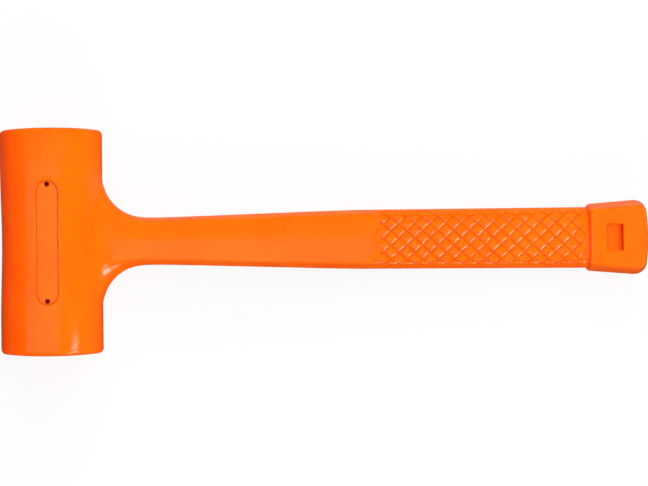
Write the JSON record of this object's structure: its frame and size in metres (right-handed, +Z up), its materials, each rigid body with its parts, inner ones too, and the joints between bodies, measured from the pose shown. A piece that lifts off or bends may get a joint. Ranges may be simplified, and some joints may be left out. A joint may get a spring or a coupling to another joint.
{
  "type": "dead blow hammer",
  "caption": "One-piece cast urethane mallet: cylindrical head with a shot-filled steel canister, flared neck, lozenge grip and flared pommel.",
  "frame": {"origin": "on the floor under the middle of the hammer as it lies on its side, resting on the head and the pommel", "axes": "+X along the handle from the head to the pommel, +Y along the head towards the upper striking face, +Z up through the side that carries the label recess"},
  "size_m": [0.3056, 0.106, 0.0476],
  "materials": {
    "orange_urethane": "gloss",
    "mild_steel": "satin",
    "shot_steel": "polished"
  },
  "bodies": {
    "hammer": {"casing": "orange_urethane", "canister_tube": "mild_steel", "canister_cap_upper": "mild_steel", "canister_cap_lower": "mild_steel", "handle_rod": "mild_steel"},
    "shot_file_1": {"shot_ball_1_1": "shot_steel", "shot_ball_1_2": "shot_steel", "shot_ball_1_3": "shot_steel", "shot_ball_1_4": "shot_steel", "shot_ball_1_5": "shot_steel", "shot_ball_1_6": "shot_steel"},
    "shot_file_2": {"shot_ball_2_1": "shot_steel", "shot_ball_2_2": "shot_steel", "shot_ball_2_3": "shot_steel", "shot_ball_2_4": "shot_steel", "shot_ball_2_5": "shot_steel", "shot_ball_2_6": "shot_steel"},
    "shot_file_3": {"shot_ball_3_1": "shot_steel", "shot_ball_3_2": "shot_steel", "shot_ball_3_3": "shot_steel", "shot_ball_3_4": "shot_steel", "shot_ball_3_5": "shot_steel", "shot_ball_3_6": "shot_steel"},
    "shot_file_4": {"shot_ball_4_1": "shot_steel", "shot_ball_4_2": "shot_steel", "shot_ball_4_3": "shot_steel", "shot_ball_4_4": "shot_steel", "shot_ball_4_5": "shot_steel", "shot_ball_4_6": "shot_steel"},
    "shot_file_5": {"shot_ball_5_1": "shot_steel", "shot_ball_5_2": "shot_steel", "shot_ball_5_3": "shot_steel", "shot_ball_5_4": "shot_steel", "shot_ball_5_5": "shot_steel", "shot_ball_5_6": "shot_steel"},
    "shot_file_6": {"shot_ball_6_1": "shot_steel", "shot_ball_6_2": "shot_steel", "shot_ball_6_3": "shot_steel", "shot_ball_6_4": "shot_steel", "shot_ball_6_5": "shot_steel", "shot_ball_6_6": "shot_steel"},
    "shot_file_7": {"shot_ball_7_1": "shot_steel", "shot_ball_7_2": "shot_steel", "shot_ball_7_3": "shot_steel", "shot_ball_7_4": "shot_steel", "shot_ball_7_5": "shot_steel", "shot_ball_7_6": "shot_steel"}
  },
  "joints": [
    {"name": "shot_file_1_slide", "type": "slide", "parent": "hammer", "child": "shot_file_1", "axis": [0, 1, 0], "range_m": [0, 0.0217]},
    {"name": "shot_file_2_slide", "type": "slide", "parent": "hammer", "child": "shot_file_2", "axis": [0, 1, 0], "range_m": [0, 0.0217]},
    {"name": "shot_file_3_slide", "type": "slide", "parent": "hammer", "child": "shot_file_3", "axis": [0, 1, 0], "range_m": [0, 0.0217]},
    {"name": "shot_file_4_slide", "type": "slide", "parent": "hammer", "child": "shot_file_4", "axis": [0, 1, 0], "range_m": [0, 0.0217]},
    {"name": "shot_file_5_slide", "type": "slide", "parent": "hammer", "child": "shot_file_5", "axis": [0, 1, 0], "range_m": [0, 0.0217]},
    {"name": "shot_file_6_slide", "type": "slide", "parent": "hammer", "child": "shot_file_6", "axis": [0, 1, 0], "range_m": [0, 0.0217]},
    {"name": "shot_file_7_slide", "type": "slide", "parent": "hammer", "child": "shot_file_7", "axis": [0, 1, 0], "range_m": [0, 0.0217]}
  ]
}
